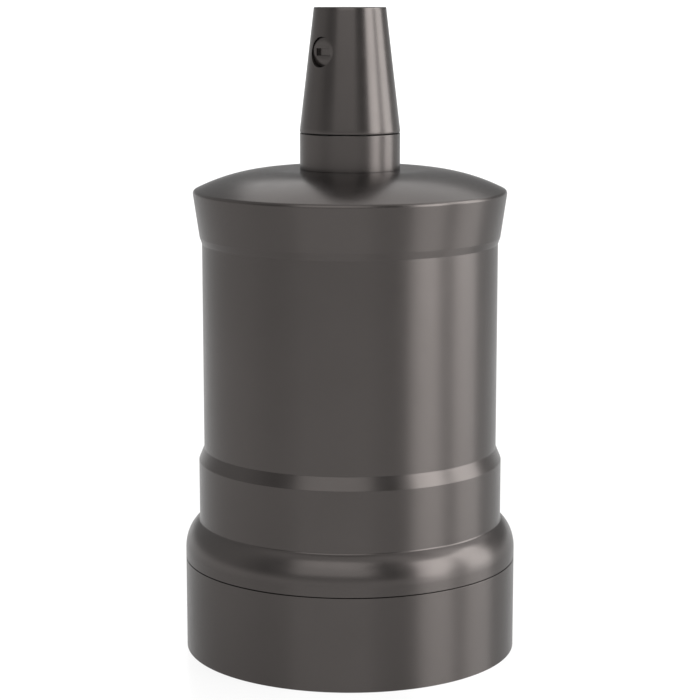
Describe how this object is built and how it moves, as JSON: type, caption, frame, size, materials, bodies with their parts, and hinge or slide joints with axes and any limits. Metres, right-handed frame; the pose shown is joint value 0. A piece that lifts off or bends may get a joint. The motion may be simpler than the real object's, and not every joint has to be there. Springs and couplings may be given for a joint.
{
  "type": "pendant lamp holder",
  "caption": "Cylindrical metal lamp holder with a screwed nose ring, domed top and conical cord grip, round a porcelain insert with a screw shell and sprung contact.",
  "frame": {"origin": "centre of the nose ring's lower face, on the lamp's axis", "axes": "+Z along the lamp's axis towards the cord grip; the grub screw faces -X and -Y equally; the live terminal is on the +Y side and the earth screw on the +X side"},
  "size_m": [0.06, 0.06, 0.1157],
  "materials": {
    "pearl_black": "dark warm grey metallic coat, satin",
    "porcelain": "white glazed",
    "liner_black": "heat-proof moulding, matt",
    "brass": "bare rolled and machined",
    "zinc_steel": "zinc plated",
    "spring_bronze": "bare spring strip",
    "nylon": "natural nylon"
  },
  "bodies": {
    "holder": {"housing": "pearl_black", "insert": "porcelain", "screw_shell": "brass", "live_strip": "brass", "neutral_strip": "brass", "live_rivets": "brass", "neutral_rivets": "brass", "mounting_bracket": "zinc_steel", "fixing_screws": "zinc_steel", "fixing_nuts": "zinc_steel", "nipple": "zinc_steel", "lock_nut": "zinc_steel", "toothed_washer": "zinc_steel", "collar": "pearl_black", "cord_grip": "pearl_black", "live_terminal": "brass", "neutral_terminal": "brass", "contact_spring": "spring_bronze"},
    "liner": {"ring_liner": "liner_black"},
    "ring": {"nose_ring": "pearl_black"},
    "contact": {"centre_contact": "brass"},
    "pad": {"cord_pad": "nylon"},
    "grub": {"grub_screw": "pearl_black"},
    "live_plate": {"live_clamp": "zinc_steel"},
    "live_turner": {"live_screw": "zinc_steel"},
    "neutral_plate": {"neutral_clamp": "zinc_steel"},
    "neutral_turner": {"neutral_screw": "zinc_steel"},
    "earth_plate": {"earth_washer": "zinc_steel"},
    "earth_turner": {"earth_screw": "zinc_steel"}
  },
  "joints": [
    {"name": "ring_drop", "type": "slide", "parent": "holder", "child": "liner", "axis": [0, 0, -1], "range_m": [0, 0.0045]},
    {"name": "ring_turn", "type": "hinge", "parent": "liner", "child": "ring", "pos_m": [0, 0, 0.008], "axis": [0, 0, -1], "range_deg": [0, 1080]},
    {"name": "contact_press", "type": "slide", "parent": "holder", "child": "contact", "axis": [0, 0, 1], "range_m": [0, 0.0025], "stiffness_N_per_m": 1500, "springref_m": -0.002, "deforming": ["contact_spring"]},
    {"name": "pad_feed", "type": "slide", "parent": "holder", "child": "pad", "axis": [0.7071, 0.7071, 0], "range_m": [-0.0012, 0.0024]},
    {"name": "grub_turn", "type": "hinge", "parent": "pad", "child": "grub", "pos_m": [-0.00424, -0.00424, 0.10801], "axis": [0.7071, 0.7071, 0], "range_deg": [-540, 1080]},
    {"name": "earth_washer_feed", "type": "slide", "parent": "holder", "child": "earth_plate", "axis": [1, 0, 0], "range_m": [0, 0.00175]},
    {"name": "earth_screw_turn", "type": "hinge", "parent": "earth_plate", "child": "earth_turner", "pos_m": [0.0145, 0, 0.07238], "axis": [1, 0, 0], "range_deg": [0, 900]},
    {"name": "live_clamp_feed", "type": "slide", "parent": "holder", "child": "live_plate", "axis": [0, 0, -1], "range_m": [0, 0.003]},
    {"name": "live_screw_turn", "type": "hinge", "parent": "live_plate", "child": "live_turner", "pos_m": [0, 0.01413, 0.07], "axis": [0, 0, -1], "range_deg": [0, 1543]},
    {"name": "neutral_clamp_feed", "type": "slide", "parent": "holder", "child": "neutral_plate", "axis": [0, 0, -1], "range_m": [0, 0.003]},
    {"name": "neutral_screw_turn", "type": "hinge", "parent": "neutral_plate", "child": "neutral_turner", "pos_m": [0, -0.01413, 0.07], "axis": [0, 0, -1], "range_deg": [0, 1543]}
  ],
  "couplings": [
    {"joint": "ring_drop", "follows": "ring_turn", "m_per_rad": 0.0002387},
    {"joint": "grub_turn", "follows": "pad_feed", "rad_per_m": 7854},
    {"joint": "earth_screw_turn", "follows": "earth_washer_feed", "rad_per_m": 8976},
    {"joint": "live_screw_turn", "follows": "live_clamp_feed", "rad_per_m": 8976},
    {"joint": "neutral_screw_turn", "follows": "neutral_clamp_feed", "rad_per_m": 8976}
  ]
}
